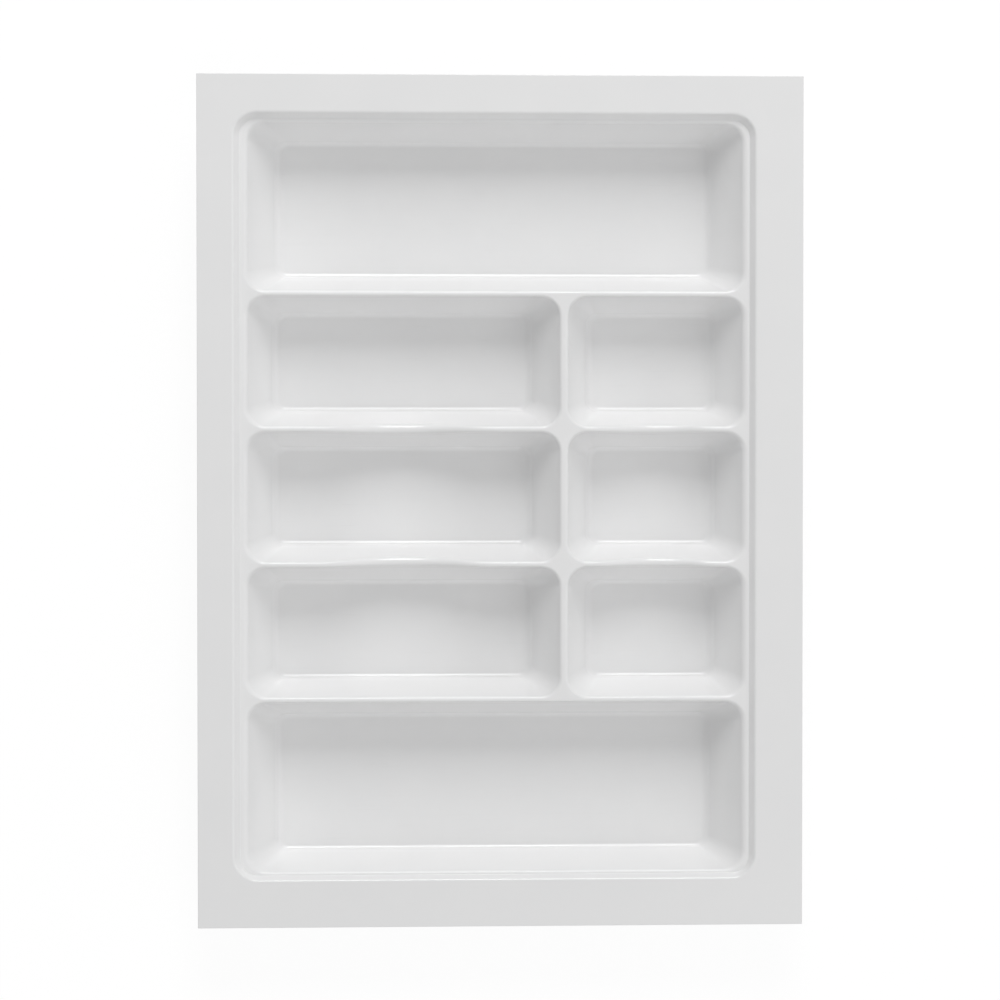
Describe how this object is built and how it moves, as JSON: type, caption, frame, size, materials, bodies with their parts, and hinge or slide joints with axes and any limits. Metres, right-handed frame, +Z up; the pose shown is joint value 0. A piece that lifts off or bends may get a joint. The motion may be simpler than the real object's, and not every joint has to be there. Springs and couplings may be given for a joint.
{
  "type": "cutlery tray",
  "caption": "Vacuum-formed cutlery tray with a flat trimmed rim, drafted bays for long, short and wide utensils, hollow dividers and finger dips.",
  "frame": {"origin": "under the middle of the trimmed outline, level with the undersides of the bay floors", "axes": "+X to the right along the bays, +Y to the rear across them, +Z up out of the bays"},
  "size_m": [0.49, 0.688, 0.0576],
  "materials": {
    "formed_sheet": "white, smooth and glossy as formed"
  },
  "bodies": {
    "root": {"rim_flange": "formed_sheet", "left_wall": "formed_sheet", "right_wall": "formed_sheet", "rear_wall": "formed_sheet", "front_wall": "formed_sheet", "rear_divider": "formed_sheet", "front_divider": "formed_sheet", "middle_divider": "formed_sheet", "long_divider_rear": "formed_sheet", "long_divider_front": "formed_sheet", "short_divider_rear": "formed_sheet", "short_divider_front": "formed_sheet", "wide_bay_floor_rear": "formed_sheet", "wide_bay_floor_front": "formed_sheet", "long_bay_floor_rear": "formed_sheet", "long_bay_floor_middle": "formed_sheet", "long_bay_floor_front": "formed_sheet", "short_bay_floor_rear": "formed_sheet", "short_bay_floor_middle": "formed_sheet", "short_bay_floor_front": "formed_sheet"}
  },
  "joints": []
}
